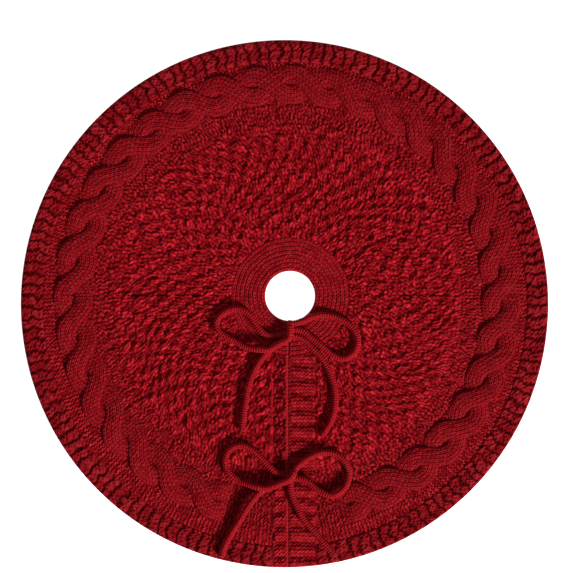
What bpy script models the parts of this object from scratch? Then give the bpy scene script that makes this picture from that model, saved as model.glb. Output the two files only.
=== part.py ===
# Knitted tree skirt: a flat round mat of chunky yarn with a trunk hole, a front slit and two tied bows.
# Metres, +Z up. The skirt lies on the plane z = 0 with its outer circle centred on the origin,
# +Y points to the back, and the slit runs from the hole to the front edge towards -Y.
# The front folds up over the back along one crease, which runs parallel to X through the hole's centre.

import math

import bpy
import bmesh
from mathutils import Vector

# Outer circle and trunk hole. The hole sits a little off the middle, as the knitting pulled it.
SKIRT_RADIUS = 0.6096
HOLE_RADIUS = 0.0574
HOLE_X = 0.0128
HOLE_Y = 0.0179

# Stitch bands, widths measured outwards from the hole and inwards from the edge.
COLLAR_WIDTH = 0.0786
BORDER_WIDTH = 0.050
OUTER_GUTTER_WIDTH = 0.0205
CABLE_WIDTH = 0.090
INNER_GUTTER_WIDTH = 0.046
CABLE_X = 0.0065
CABLE_Y = 0.0130

# Fabric thickness of each stitch.
COLLAR_HEIGHT = 0.008
MOSS_HEIGHT = 0.009
GUTTER_HEIGHT = 0.0065
CABLE_EDGE_HEIGHT = 0.009
CABLE_CROWN = 0.0045
BORDER_HEIGHT = 0.009

# Slit and the ribbed facings on both of its sides.
SLIT_X = 0.0095
LEFT_FACING_WIDTH = 0.036
RIGHT_FACING_WIDTH = 0.062
FACING_HEIGHT = 0.0075
FACING_RIDGE = 0.0015
RIDGE_PITCH = 0.034
SAMPLES_PER_RIDGE = 4
FACING_STRIPS = 6

# Knitted tie cords, the knots that close each bow, and the stitches that sew them to the slit edges.
# Cords leave one side of a knot EXIT_PITCH apart.
CORD_DIAMETER = 0.0115
CORD_STEP = 0.013
CURVE_SAMPLES = 12
EXIT_PITCH = CORD_DIAMETER + 0.0027
REST_REACH = 0.8
REST_GAP = 0.0008
KNOT_GAP = 0.0005
KNOT_WIDTH = 0.0150
KNOT_HEIGHT = 0.024
# Each knot's (x, y, length along y).
KNOTS = {
    "upper": (0.0126, -0.0677, 0.0515),
    "lower": (0.0135, -0.4015, 0.0350),
}
KNOT_ROUNDING = 0.005
TACK_WIDTH = 0.0026
TACK_LENGTH = 0.020
TACK_THICKNESS = 0.002
TACK_ROUNDING = 0.0007

# Touching pieces keep this gap.
GAP = 0.0003

REAR_SEGMENTS = 48
FLAP_SEGMENTS = 24

BORDER_INNER = SKIRT_RADIUS - BORDER_WIDTH
CABLE_OUTER = BORDER_INNER - OUTER_GUTTER_WIDTH
CABLE_INNER = CABLE_OUTER - CABLE_WIDTH
MOSS_OUTER = CABLE_INNER - INNER_GUTTER_WIDTH
COLLAR_OUTER = HOLE_RADIUS + COLLAR_WIDTH

# Each boundary circle is (centre x, centre y, radius), from the hole to the outer edge.
HOLE_CIRCLE = (HOLE_X, HOLE_Y, HOLE_RADIUS)
COLLAR_CIRCLE = (HOLE_X, HOLE_Y, COLLAR_OUTER)
MOSS_CIRCLE = (CABLE_X, CABLE_Y, MOSS_OUTER)
CABLE_INNER_CIRCLE = (CABLE_X, CABLE_Y, CABLE_INNER)
CABLE_OUTER_CIRCLE = (CABLE_X, CABLE_Y, CABLE_OUTER)
BORDER_CIRCLE = (0.0, 0.0, BORDER_INNER)
EDGE_CIRCLE = (0.0, 0.0, SKIRT_RADIUS)

# Stitch bands: name, inner circle, outer circle, height at the band's edges, extra height at its middle
# and the number of strips across it.
BANDS = (
    ("collar", HOLE_CIRCLE, COLLAR_CIRCLE, COLLAR_HEIGHT, 0.0, 2),
    ("moss_field", COLLAR_CIRCLE, MOSS_CIRCLE, MOSS_HEIGHT, 0.0, 3),
    ("inner_gutter", MOSS_CIRCLE, CABLE_INNER_CIRCLE, GUTTER_HEIGHT, 0.0, 1),
    ("cable_band", CABLE_INNER_CIRCLE, CABLE_OUTER_CIRCLE, CABLE_EDGE_HEIGHT, CABLE_CROWN, 4),
    ("outer_gutter", CABLE_OUTER_CIRCLE, BORDER_CIRCLE, GUTTER_HEIGHT, 0.0, 1),
    ("border", BORDER_CIRCLE, EDGE_CIRCLE, BORDER_HEIGHT, 0.0, 1),
)

YARN_ROUGHNESS = 0.85
CORD_COLOUR = (0.47, 0.012, 0.024)
BAND_COLOURS = {
    "collar": (0.40, 0.008, 0.018),
    "moss_field": (0.36, 0.006, 0.016),
    "inner_gutter": (0.27, 0.004, 0.012),
    "cable_band": (0.42, 0.009, 0.020),
    "outer_gutter": (0.25, 0.004, 0.012),
    "border": (0.38, 0.007, 0.018),
    "facing": (0.35, 0.006, 0.016),
}

# Runs of the tie cords. Each has its knot, the side of it where the run starts, the route's free points and
# the side where a loop comes back; a tail ends free. A side is (face, place along that face, level), and a
# point is (x, y, level): level 0 lies on the fabric and level 1 rides over another cord.
CORD_RUNS = {
    "upper_left_loop": ("upper", ("left", -0.0735, 0), (
        (-0.0300, -0.0748, 0), (-0.0500, -0.0665, 0), (-0.0660, -0.0470, 0), (-0.0800, -0.0265, 0),
        (-0.0980, -0.0145, 0), (-0.1190, -0.0120, 0), (-0.1420, -0.0220, 0), (-0.1560, -0.0400, 0),
        (-0.1545, -0.0590, 0), (-0.1380, -0.0745, 0), (-0.1030, -0.0925, 0), (-0.0800, -0.1010, 0.6),
        (-0.0600, -0.1050, 1.1), (-0.0382, -0.1055, 1.1), (-0.0220, -0.0975, 1.1),
    ), ("left", -0.0735 - EXIT_PITCH, 1.05)),
    "upper_left_tail": ("upper", ("left", -0.0735 - EXIT_PITCH, 0), (
        (-0.0220, -0.0965, 0), (-0.0350, -0.1070, 0), (-0.0520, -0.1250, 0), (-0.0640, -0.1440, 0),
        (-0.0752, -0.1670, 0), (-0.0844, -0.1944, 0), (-0.0890, -0.2220, 0), (-0.0936, -0.2500, 0),
        (-0.0965, -0.2760, 0), (-0.0985, -0.2960, 0),
    ), None),
    "upper_right_loop": ("upper", ("right", -0.0600 + EXIT_PITCH, 0), (
        (0.0440, -0.0390, 0), (0.0588, -0.0320, 0), (0.0865, -0.0259, 0), (0.1165, -0.0305, 0),
        (0.1442, -0.0443, 0), (0.1626, -0.0628, 0), (0.1696, -0.0859, 0), (0.1640, -0.1070, 0),
        (0.1511, -0.1205, 0), (0.1350, -0.1263, 0), (0.1142, -0.1205, 0), (0.0957, -0.1067, 0),
        (0.0772, -0.0905, 0), (0.0588, -0.0760, 0), (0.0440, -0.0645, 0),
    ), ("right", -0.0600, 0)),
    "upper_right_tail": ("upper", ("right", -0.0600 - EXIT_PITCH, 0), (
        (0.0470, -0.0865, 0), (0.0634, -0.1020, 0), (0.0818, -0.1205, 0), (0.0980, -0.1436, 0),
        (0.1095, -0.1713, 0), (0.1165, -0.2036, 0), (0.1165, -0.2337, 0), (0.1095, -0.2637, 0),
        (0.0980, -0.2868, 0), (0.0841, -0.3075, 0),
    ), None),
    "lower_left_loop": ("lower", ("left", -0.3962, 0), (
        (-0.0180, -0.3900, 0), (-0.0290, -0.3810, 0), (-0.0520, -0.3583, 0), (-0.0752, -0.3376, 0),
        (-0.1005, -0.3270, 0), (-0.1220, -0.3330, 0), (-0.1345, -0.3500, 0), (-0.1352, -0.3745, 0),
        (-0.1236, -0.3950, 0), (-0.1029, -0.4085, 0), (-0.0850, -0.4150, 0.6), (-0.0660, -0.4210, 1.1),
        (-0.0450, -0.4250, 1.1), (-0.0250, -0.4200, 1.1),
    ), ("left", -0.3962 - EXIT_PITCH, 1.05)),
    "lower_left_tail": ("lower", ("left", -0.3962 - EXIT_PITCH, 0), (
        (-0.0220, -0.4190, 0), (-0.0400, -0.4245, 0), (-0.0560, -0.4330, 0), (-0.0680, -0.4460, 0),
        (-0.0867, -0.4715, 0), (-0.1029, -0.4990, 0), (-0.1210, -0.5270, 0), (-0.1375, -0.5570, 0),
        (-0.1467, -0.5860, 0),
    ), None),
    "lower_right_loop": ("lower", ("back", 0.0140, 0), (
        (0.0330, -0.3610, 0), (0.0588, -0.3520, 0), (0.0865, -0.3430, 0), (0.1165, -0.3468, 0),
        (0.1396, -0.3650, 0), (0.1488, -0.3906, 0), (0.1419, -0.4183, 0), (0.1234, -0.4368, 0),
        (0.1049, -0.4414, 0), (0.0772, -0.4299, 0), (0.0541, -0.4110, 0),
    ), ("right", -0.4020, 0)),
    "lower_right_tail": ("lower", ("front", 0.0135, 0), (
        (0.0195, -0.4480, 0), (0.0290, -0.4680, 0), (0.0426, -0.4946, 0), (0.0657, -0.5220, 0),
        (0.0934, -0.5540, 0), (0.1200, -0.5820, 0),
    ), None),
}


def clear_scene():
    for old in list(bpy.data.objects):
        bpy.data.objects.remove(old)


def yarn(name, colour):
    made = bpy.data.materials.new(name)
    made.use_nodes = True
    shader = made.node_tree.nodes["Principled BSDF"]
    shader.inputs["Base Color"].default_value = (*colour, 1.0)
    shader.inputs["Roughness"].default_value = YARN_ROUGHNESS
    shader.inputs["Metallic"].default_value = 0.0
    return made


def finish(piece, collection, colour):
    """Puts a piece in the skirt's collection with yarn of its own."""
    for other in list(piece.users_collection):
        other.objects.unlink(piece)
    collection.objects.link(piece)
    piece.data.materials.append(yarn(piece.name + "_yarn", colour))
    return piece


def fabric_block(name, along, across, place, top):
    """A grid whose point (u, v) lies at place(u, v) with its upper side at top(u, v), extruded to the floor."""
    bm = bmesh.new()
    bmesh.ops.create_grid(bm, x_segments=along, y_segments=across, size=0.5)
    for vert in bm.verts:
        u = vert.co.x + 0.5
        v = vert.co.y + 0.5
        vert.co = (*place(u, v), top(u, v))
    under = bmesh.ops.extrude_face_region(bm, geom=bm.faces[:])
    for vert in under["geom"]:
        if isinstance(vert, bmesh.types.BMVert):
            vert.co.z = 0.0
    bmesh.ops.recalc_face_normals(bm, faces=bm.faces[:])
    mesh = bpy.data.meshes.new(name)
    bm.to_mesh(mesh)
    bm.free()
    return bpy.data.objects.new(name, mesh)


def point_on(circle, angle):
    x, y, radius = circle
    return Vector((x + radius * math.cos(angle), y + radius * math.sin(angle)))


def crease_angle(circle, side):
    """Where the circle crosses the crease line, a half gap to the side's own side of it."""
    shift = 0.5 * GAP if side == "rear" else -0.5 * GAP
    return math.asin((HOLE_Y + shift - circle[1]) / circle[2])


def arc_ends(circle, side, slit_line):
    """First and last angle of the circle's arc on one side. The flaps' arcs end on the line x = slit_line."""
    right_end = crease_angle(circle, side)
    if side == "rear":
        return right_end, math.pi - right_end
    front_end = -math.acos((slit_line - circle[0]) / circle[2])
    if side == "right":
        return front_end, right_end
    return math.pi - right_end, front_end + 2.0 * math.pi


def facing_width(side):
    return {"left": LEFT_FACING_WIDTH, "right": RIGHT_FACING_WIDTH, "rear": 0.0}[side]


def slit_line_of(side, band_name):
    """The collar runs up to the slit itself, and every other band stops at its side's facing."""
    outwards = {"left": -1.0, "right": 1.0, "rear": 0.0}[side]
    if band_name == "collar":
        return SLIT_X + outwards * 0.5 * GAP
    return SLIT_X + outwards * (facing_width(side) + 1.5 * GAP)


def band_piece(side, band):
    """One stitch band of one side: straight spokes between two arcs of the band's boundary circles."""
    name, inner, outer, edge_height, crown, strips = band
    inner = (inner[0], inner[1], inner[2] + (0.0 if inner is HOLE_CIRCLE else 0.5 * GAP))
    outer = (outer[0], outer[1], outer[2] - (0.0 if outer is EDGE_CIRCLE else 0.5 * GAP))
    slit_line = slit_line_of(side, name)
    inner_ends = arc_ends(inner, side, slit_line)
    outer_ends = arc_ends(outer, side, slit_line)

    def place(u, v):
        near = point_on(inner, inner_ends[0] + u * (inner_ends[1] - inner_ends[0]))
        far = point_on(outer, outer_ends[0] + u * (outer_ends[1] - outer_ends[0]))
        return near.lerp(far, v)

    def top(u, v):
        return edge_height + crown * math.sin(math.pi * v)

    segments = REAR_SEGMENTS if side == "rear" else FLAP_SEGMENTS
    return fabric_block(f"{side}_{name}", segments, strips, place, top)


def front_of(circle, x):
    """The y of the circle's front point at x."""
    return circle[1] - math.sqrt(circle[2] ** 2 - (x - circle[0]) ** 2)


def facing_piece(side):
    """The ribbed band beside the slit, from the collar to the outer edge, with ridges across it."""
    outwards = -1.0 if side == "left" else 1.0
    collar = (HOLE_X, HOLE_Y, COLLAR_OUTER + 0.5 * GAP)
    start = SLIT_X + outwards * 0.5 * GAP
    end = SLIT_X + outwards * facing_width(side)
    length = front_of(collar, start) - front_of(EDGE_CIRCLE, start)
    ridges = round(length / RIDGE_PITCH)

    def place(u, v):
        x = start + v * (end - start)
        high = front_of(collar, x)
        low = front_of(EDGE_CIRCLE, x)
        return x, high + u * (low - high)

    def top(u, v):
        return FACING_HEIGHT + FACING_RIDGE * math.sin(math.pi * u * ridges) ** 2

    return fabric_block(f"{side}_facing", ridges * SAMPLES_PER_RIDGE, FACING_STRIPS, place, top)


def fabric_top(x, y):
    """How high the fabric stands at a place."""
    on_facing = -LEFT_FACING_WIDTH < x - SLIT_X < RIGHT_FACING_WIDTH and y < HOLE_Y
    for name, inner, outer, edge_height, crown, _ in BANDS:
        beyond = math.hypot(x - outer[0], y - outer[1]) - inner[2]
        width = outer[2] - inner[2]
        if beyond > width:
            continue
        if on_facing and name != "collar":
            return FACING_HEIGHT + FACING_RIDGE
        return edge_height + crown * math.sin(math.pi * max(beyond, 0.0) / width)
    return 0.0


def resting_height(x, y):
    """Height of a cord's middle where it lies on the highest fabric around it."""
    reach = REST_REACH * CORD_DIAMETER
    around = [
        fabric_top(x + reach * math.cos(turn), y + reach * math.sin(turn))
        for turn in (math.radians(45 * step) for step in range(8))
    ]
    return max(around + [fabric_top(x, y)]) + REST_GAP + 0.5 * CORD_DIAMETER


def smooth_route(points):
    """Points every CORD_STEP along a Catmull-Rom curve through the route's own points."""
    route = [Vector(point) for point in points]
    route = [2 * route[0] - route[1]] + route + [2 * route[-1] - route[-2]]
    fine = []
    for before, start, end, after in zip(route, route[1:], route[2:], route[3:]):
        for step in range(CURVE_SAMPLES):
            t = step / CURVE_SAMPLES
            fine.append(
                0.5 * (2 * start + (end - before) * t
                       + (2 * before - 5 * start + 4 * end - after) * t ** 2
                       + (3 * start - before - 3 * end + after) * t ** 3)
            )
    fine.append(route[-2])
    travelled = [0.0]
    for start, end in zip(fine, fine[1:]):
        travelled.append(travelled[-1] + (end.xy - start.xy).length)
    steps = max(2, round(travelled[-1] / CORD_STEP))
    chosen = []
    at = 0
    for step in range(steps + 1):
        goal = travelled[-1] * step / steps
        while at < len(fine) - 2 and travelled[at + 1] < goal:
            at += 1
        share = (goal - travelled[at]) / max(travelled[at + 1] - travelled[at], 1e-9)
        chosen.append(fine[at].lerp(fine[at + 1], min(max(share, 0.0), 1.0)))
    return chosen


def knot_end(knot, side):
    """A run's two points at its knot: on the knot's face, and one step straight out of it."""
    x, y, length = KNOTS[knot]
    face, place, level = side
    outwards = {"left": (-1, 0), "right": (1, 0), "back": (0, 1), "front": (0, -1)}[face]
    reach = 0.5 * (length if outwards[1] else KNOT_WIDTH) + KNOT_GAP
    points = []
    for out in (reach, reach + CORD_STEP):
        if outwards[1]:
            points.append((place, y + out * outwards[1], level))
        else:
            points.append((x + out * outwards[0], place, level))
    return points


def cord_run(name, knot, start, free_points, end):
    """A round tube along one run of a tie cord: the loop between two sides of its knot, or the free tail."""
    route = knot_end(knot, start) + list(free_points)
    if end:
        route += reversed(knot_end(knot, end))
    curve = bpy.data.curves.new(name, "CURVE")
    curve.dimensions = "3D"
    curve.bevel_depth = 0.5 * CORD_DIAMETER
    curve.bevel_resolution = 2
    curve.use_fill_caps = True
    points = smooth_route(route)
    spline = curve.splines.new("POLY")
    spline.points.add(len(points) - 1)
    for slot, (x, y, level) in zip(spline.points, points):
        slot.co = (x, y, resting_height(x, y) + level * (CORD_DIAMETER + GAP), 1.0)
    return bpy.data.objects.new(name, curve)


def rounded_block(name, size, centre, rounding):
    bm = bmesh.new()
    bmesh.ops.create_cube(bm, size=1.0)
    bmesh.ops.scale(bm, vec=size, verts=bm.verts[:])
    mesh = bpy.data.meshes.new(name)
    bm.to_mesh(mesh)
    bm.free()
    block = bpy.data.objects.new(name, mesh)
    block.location = centre
    edge = block.modifiers.new("rounding", "BEVEL")
    edge.width = rounding
    edge.segments = 3
    return block


def bow_fixings(name, fabric_height):
    """A bow's knot over the slit, and the two rows of stitches that sew its cords to the slit edges."""
    knot_x, knot_y, knot_length = KNOTS[name]
    tack_z = fabric_height + GAP + 0.5 * TACK_THICKNESS
    knot_z = fabric_height + 2 * GAP + TACK_THICKNESS + 0.5 * KNOT_HEIGHT
    tack_offset = 0.5 * (GAP + TACK_WIDTH)
    tack_size = (TACK_WIDTH, TACK_LENGTH, TACK_THICKNESS)
    knot_size = (KNOT_WIDTH, knot_length, KNOT_HEIGHT)
    return (
        rounded_block(f"{name}_left_tack", tack_size, (SLIT_X - tack_offset, knot_y, tack_z), TACK_ROUNDING),
        rounded_block(f"{name}_right_tack", tack_size, (SLIT_X + tack_offset, knot_y, tack_z), TACK_ROUNDING),
        rounded_block(f"{name}_bow_knot", knot_size, (knot_x, knot_y, knot_z), KNOT_ROUNDING),
    )


def build():
    clear_scene()
    skirt = bpy.data.collections.new("tree_skirt")
    bpy.context.scene.collection.children.link(skirt)
    for side in ("rear", "left", "right"):
        for band in BANDS:
            finish(band_piece(side, band), skirt, BAND_COLOURS[band[0]])
    for side in ("left", "right"):
        finish(facing_piece(side), skirt, BAND_COLOURS["facing"])
    for name, run in CORD_RUNS.items():
        finish(cord_run(name, *run), skirt, CORD_COLOUR)
    facing_top = FACING_HEIGHT + FACING_RIDGE
    for piece in bow_fixings("upper", COLLAR_HEIGHT) + bow_fixings("lower", facing_top):
        finish(piece, skirt, CORD_COLOUR)


build()
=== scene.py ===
import math

import bpy
import numpy as np
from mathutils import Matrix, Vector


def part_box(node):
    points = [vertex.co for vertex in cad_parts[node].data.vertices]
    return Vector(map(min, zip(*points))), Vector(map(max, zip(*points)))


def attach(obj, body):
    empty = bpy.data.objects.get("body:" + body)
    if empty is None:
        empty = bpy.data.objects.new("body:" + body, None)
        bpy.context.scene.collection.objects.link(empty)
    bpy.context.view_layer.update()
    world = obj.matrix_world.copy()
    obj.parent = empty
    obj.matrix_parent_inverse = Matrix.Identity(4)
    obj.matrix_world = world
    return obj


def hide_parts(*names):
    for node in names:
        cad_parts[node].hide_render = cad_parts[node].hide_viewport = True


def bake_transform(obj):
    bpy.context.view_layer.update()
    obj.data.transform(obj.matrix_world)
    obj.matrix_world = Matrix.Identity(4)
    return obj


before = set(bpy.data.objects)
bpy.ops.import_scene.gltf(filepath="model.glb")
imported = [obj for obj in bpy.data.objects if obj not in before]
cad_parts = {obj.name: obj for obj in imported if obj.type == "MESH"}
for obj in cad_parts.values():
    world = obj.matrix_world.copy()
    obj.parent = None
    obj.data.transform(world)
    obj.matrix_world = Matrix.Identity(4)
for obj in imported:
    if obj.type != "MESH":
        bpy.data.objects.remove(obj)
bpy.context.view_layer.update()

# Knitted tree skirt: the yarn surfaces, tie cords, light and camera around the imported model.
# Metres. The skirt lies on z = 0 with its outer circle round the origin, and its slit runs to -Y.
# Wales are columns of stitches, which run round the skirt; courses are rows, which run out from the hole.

tau = 2 * math.pi
millimetre = 0.001

viewSettings = {
    "middle": (0.0045, 0.0399),     # the point of the skirt under the lens
    "height": 6.0,                  # lens above the fabric
    "widthSeen": 1.3229,            # across the picture, at the fabric
    "fabricHeight": 0.009,
    "sensor": 36.0,
}

lightSettings = {
    "keyPlace": (15.0, -15.6, 12.2),    # low, from the front right, far enough to light the skirt evenly
    "keySize": 5.4,
    "keyWatts": 11000.0,
    "fillPlace": (-1.6, 0.9, 2.8),      # a wide soft box on the far left
    "fillSize": 3.0,
    "fillWatts": 22.0,
    "sky": {"Color": (0.90, 0.93, 1.0, 1.0), "Strength": 0.10},
    "floorSize": 14.0,
    "floor": {
        "Base Color": (0.93, 0.93, 0.93, 1.0),
        "Roughness": 0.9,
        "Emission Color": (1.0, 1.0, 1.0, 1.0),
        "Emission Strength": 0.92,
    },
}


def newObject(name, data):
    made = bpy.data.objects.new(name, data)
    bpy.context.scene.collection.objects.link(made)
    return made


def setInputs(node, values):
    for name, value in values.items():
        node.inputs[name].default_value = value


def makeCamera():
    lens = bpy.data.cameras.new("view")
    lens.sensor_width = viewSettings["sensor"]
    lens.lens = viewSettings["sensor"] * viewSettings["height"] / viewSettings["widthSeen"]
    lens.clip_end = 50.0
    camera = newObject("view", lens)
    camera.location = (*viewSettings["middle"], viewSettings["height"] + viewSettings["fabricHeight"])
    bpy.context.scene.camera = camera


def areaLight(name, place, size, watts):
    lamp = bpy.data.lights.new(name, "AREA")
    lamp.shape = "DISK"
    lamp.size = size
    lamp.energy = watts
    light = newObject(name, lamp)
    light.location = place
    toMiddle = -light.location.normalized()
    light.rotation_euler = toMiddle.to_track_quat("-Z", "Y").to_euler()


def makeStudio():
    s = lightSettings
    areaLight("key", s["keyPlace"], s["keySize"], s["keyWatts"])
    areaLight("fill", s["fillPlace"], s["fillSize"], s["fillWatts"])
    world = bpy.data.worlds.new("studio")
    world.use_nodes = True
    setInputs(world.node_tree.nodes["Background"], s["sky"])
    bpy.context.scene.world = world
    bpy.context.scene.view_settings.view_transform = "Standard"
    half = s["floorSize"] / 2
    mesh = bpy.data.meshes.new("floor")
    corners = [(-half, -half, 0), (half, -half, 0), (half, half, 0), (-half, half, 0)]
    mesh.from_pydata(corners, [], [(0, 1, 2, 3)])
    paint = bpy.data.materials.new("floorPaint")
    paint.use_nodes = True
    setInputs(paint.node_tree.nodes["Principled BSDF"], s["floor"])
    mesh.materials.append(paint)
    newObject("floor", mesh)


makeCamera()
makeStudio()
print("camera and studio ready")


def outerCircle(node):
    # A rear band is cut straight by the crease. With its top T, the crease's y and half the cut's width h,
    # the circle's centre is at y = (T + crease - h^2 / (T - crease)) / 2.
    low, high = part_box(node)
    half = 0.5 * (high.x - low.x)
    middleY = 0.5 * (high.y + low.y - half ** 2 / (high.y - low.y))
    return (0.5 * (low.x + high.x), middleY, high.y - middleY)


def planOf(node):
    flat = np.empty(len(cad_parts[node].data.vertices) * 3)
    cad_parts[node].data.vertices.foreach_get("co", flat)
    return flat.reshape(-1, 3)[:, :2]


bandNames = ("collar", "moss_field", "inner_gutter", "cable_band", "outer_gutter", "border")
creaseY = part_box("rear_collar")[0].y
slitX = 0.5 * (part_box("left_facing")[1].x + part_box("right_facing")[0].x)
facingEnds = {"left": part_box("left_facing")[0].x, "right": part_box("right_facing")[1].x}
circles = [outerCircle("rear_" + name) for name in bandNames]
holeX, holeY = circles[0][:2]
holeRadius = np.hypot(*(planOf("rear_collar") - (holeX, holeY)).T).min()
circles.insert(0, (holeX, holeY, holeRadius))
circleOf = dict(zip(("hole",) + bandNames, circles))
edgeCircle = circleOf["border"]


yarnSettings = {
    "paintedshade": (0.020, 0.0001, 0.0006, 1.0),       # painted shade, down between the stitches
    "body": (0.335, 0.0030, 0.0078, 1.0),
    "lit": (0.620, 0.0300, 0.0410, 1.0),        # paler fibre flecks, and a painted highlight on the stitches' tops
    "shader": {
        "Roughness": 0.78,
        "Sheen Weight": 0.12,
        "Sheen Roughness": 0.45,
        "Sheen Tint": (1.0, 0.05, 0.07, 1.0),
        "Specular IOR Level": 0.20,
        "Specular Tint": (1.0, 0.06, 0.08, 1.0),
    },
    "plies": 3.0,
    "fibreScale": 1400.0,
    "fluffScale": 420.0,
    "patchScale": 7.0,
    "bump": {"Strength": 0.8, "Distance": 0.0007},
}

# Each slot's brightness, which paints light and shade band by band on the one yarn, how dark the painted
# shade in its hollows goes and how fuzzy it is.
slotSettings = {
    "collar_yarn": {"bright": 0.79, "hollow": 0.95, "fuzz": 0.9},
    "moss_yarn": {"bright": 1.13, "hollow": 0.92, "fuzz": 1.0},
    "purl_yarn": {"bright": 0.86, "hollow": 1.00, "fuzz": 1.0},
    "cable_yarn": {"bright": 0.70, "hollow": 0.95, "fuzz": 0.8},
    "border_yarn": {"bright": 0.57, "hollow": 1.00, "fuzz": 1.0},
    "facing_yarn": {"bright": 0.80, "hollow": 1.00, "fuzz": 1.0},
    "cord_yarn": {"bright": 0.90, "hollow": 0.90, "fuzz": 0.7},
    "sewing_yarn": {"bright": 0.95, "hollow": 0.50, "fuzz": 0.5},
}


def newNode(tree, kind, **settings):
    made = tree.nodes.new(kind)
    for name, value in settings.items():
        setattr(made, name, value)
    return made


def feed(tree, node, **values):
    # Each value is a plain setting or another node's output, and its name is "i" and the input's number.
    for name, value in values.items():
        socket = node.inputs[int(name[1:])]
        if isinstance(value, bpy.types.NodeSocket):
            tree.links.new(value, socket)
        else:
            socket.default_value = value
    return node


def maths(tree, operation, first, second=0.0, third=0.0):
    made = newNode(tree, "ShaderNodeMath", operation=operation)
    return feed(tree, made, i0=first, i1=second, i2=third).outputs[0]


def blendColours(tree, share, first, second):
    made = newNode(tree, "ShaderNodeMix", data_type="RGBA", blend_type="MIX")
    feed(tree, made, i0=share, i6=first, i7=second)
    return made.outputs[2]


def attributeOf(tree, name):
    return newNode(tree, "ShaderNodeAttribute", attribute_name=name).outputs["Fac"]


def newGroup(name, inputs, outputs):
    # Inputs and outputs are names of sockets with their kinds. Gives the group and its two ends' sockets.
    group = bpy.data.node_groups.new(name, "ShaderNodeTree")
    for direction, sockets in (("INPUT", inputs), ("OUTPUT", outputs)):
        for socket, kind in sockets.items():
            group.interface.new_socket(name=socket, in_out=direction, socket_type="NodeSocket" + kind)
    return group, newNode(group, "NodeGroupInput").outputs, newNode(group, "NodeGroupOutput").inputs


def makePlyGroup():
    # Twisted plies: stripes across the yarn of each stitch, slanted by the wale and stepped by the course,
    # with fine fibre noise on top. Height runs from 0 to 1.
    inputs = {"Plies": "Float", "Fuzz": "Float"}
    group, inside, outside = newGroup("pliedYarn", inputs, {"Height": "Float", "Fibre": "Float"})
    place = newNode(group, "ShaderNodeTexCoord").outputs["Object"]
    wale = attributeOf(group, "wale")
    course = attributeOf(group, "course")
    slant = maths(group, "MULTIPLY_ADD", wale, 2.0, course)
    turns = maths(group, "MULTIPLY", slant, inside["Plies"])
    stripe = maths(group, "SINE", maths(group, "MULTIPLY", turns, tau))
    stripe = maths(group, "MULTIPLY_ADD", stripe, 0.5, 0.5)
    fibres = newNode(group, "ShaderNodeTexNoise")
    feed(group, fibres, i0=place, i2=yarnSettings["fibreScale"], i3=3.0, i4=0.65)
    fluff = newNode(group, "ShaderNodeTexNoise")
    feed(group, fluff, i0=place, i2=yarnSettings["fluffScale"], i3=2.0, i4=0.5)
    loose = maths(group, "MULTIPLY", fibres.outputs[0], inside["Fuzz"])
    height = maths(group, "MULTIPLY_ADD", stripe, 0.45, maths(group, "MULTIPLY", loose, 0.55))
    group.links.new(height, outside["Height"])
    group.links.new(fluff.outputs[0], outside["Fibre"])
    return group


def makeShadeGroup():
    # Yarn colour: body colour varied stitch by stitch and in patches, lighter on the stitches' tops with
    # paler fibre flecks and a painted highlight, and darkened with painted shade where the surface lies down
    # between the stitches.
    inputs = {"Paintedshade": "Color", "Body": "Color", "Lit": "Color", "Hollow": "Float", "Fibre": "Float"}
    group, inside, outside = newGroup("yarnShade", inputs, {"Color": "Color"})
    place = newNode(group, "ShaderNodeTexCoord").outputs["Object"]
    patches = newNode(group, "ShaderNodeTexNoise")
    feed(group, patches, i0=place, i2=yarnSettings["patchScale"], i3=3.0, i4=0.55)
    tint = attributeOf(group, "tint")
    paintedshade = attributeOf(group, "paintedshade")
    lift = maths(group, "MULTIPLY_ADD", tint, 0.35, maths(group, "MULTIPLY", inside["Fibre"], 0.55))
    lift = maths(group, "MULTIPLY_ADD", patches.outputs[0], 0.30, maths(group, "SUBTRACT", lift, 0.25))
    litShare = maths(group, "MULTIPLY", lift, maths(group, "SUBTRACT", 1.0, paintedshade))
    clamp = newNode(group, "ShaderNodeClamp")
    feed(group, clamp, i0=litShare, i1=0.0, i2=1.0)
    bright = blendColours(group, clamp.outputs[0], inside["Body"], inside["Lit"])
    shade = maths(group, "MULTIPLY", maths(group, "POWER", paintedshade, 1.2), inside["Hollow"])
    group.links.new(blendColours(group, shade, bright, inside["Paintedshade"]), outside["Color"])
    return group


plyGroup = makePlyGroup()
shadeGroup = makeShadeGroup()


def yarnMaterial(slotName):
    own = slotSettings[slotName]
    paint = bpy.data.materials.new(slotName.replace("_", "") + "Look")
    paint.use_nodes = True
    tree = paint.node_tree
    shader = tree.nodes["Principled BSDF"]
    ply = newNode(tree, "ShaderNodeGroup", node_tree=plyGroup)
    setInputs(ply, {"Plies": yarnSettings["plies"], "Fuzz": own["fuzz"]})
    shade = newNode(tree, "ShaderNodeGroup", node_tree=shadeGroup)
    # Painted light and shade band by band: the one yarn's colours scaled by each slot's brightness.
    for name in ("Paintedshade", "Body", "Lit"):
        colour = [part * own["bright"] for part in yarnSettings[name.lower()][:3]]
        shade.inputs[name].default_value = (*colour, 1.0)
    shade.inputs["Hollow"].default_value = own["hollow"]
    tree.links.new(ply.outputs["Fibre"], shade.inputs["Fibre"])
    bump = newNode(tree, "ShaderNodeBump")
    setInputs(bump, yarnSettings["bump"])
    tree.links.new(ply.outputs["Height"], bump.inputs["Height"])
    tree.links.new(bump.outputs["Normal"], shader.inputs["Normal"])
    tree.links.new(shade.outputs["Color"], shader.inputs["Base Color"])
    setInputs(shader, yarnSettings["shader"])
    return paint


yarnOf = {name: yarnMaterial(name) for name in slotSettings}
print("yarn materials ready")


fieldNames = ("wale", "course", "paintedshade", "tint")     # each piece's numbers on its points, in this order


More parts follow.
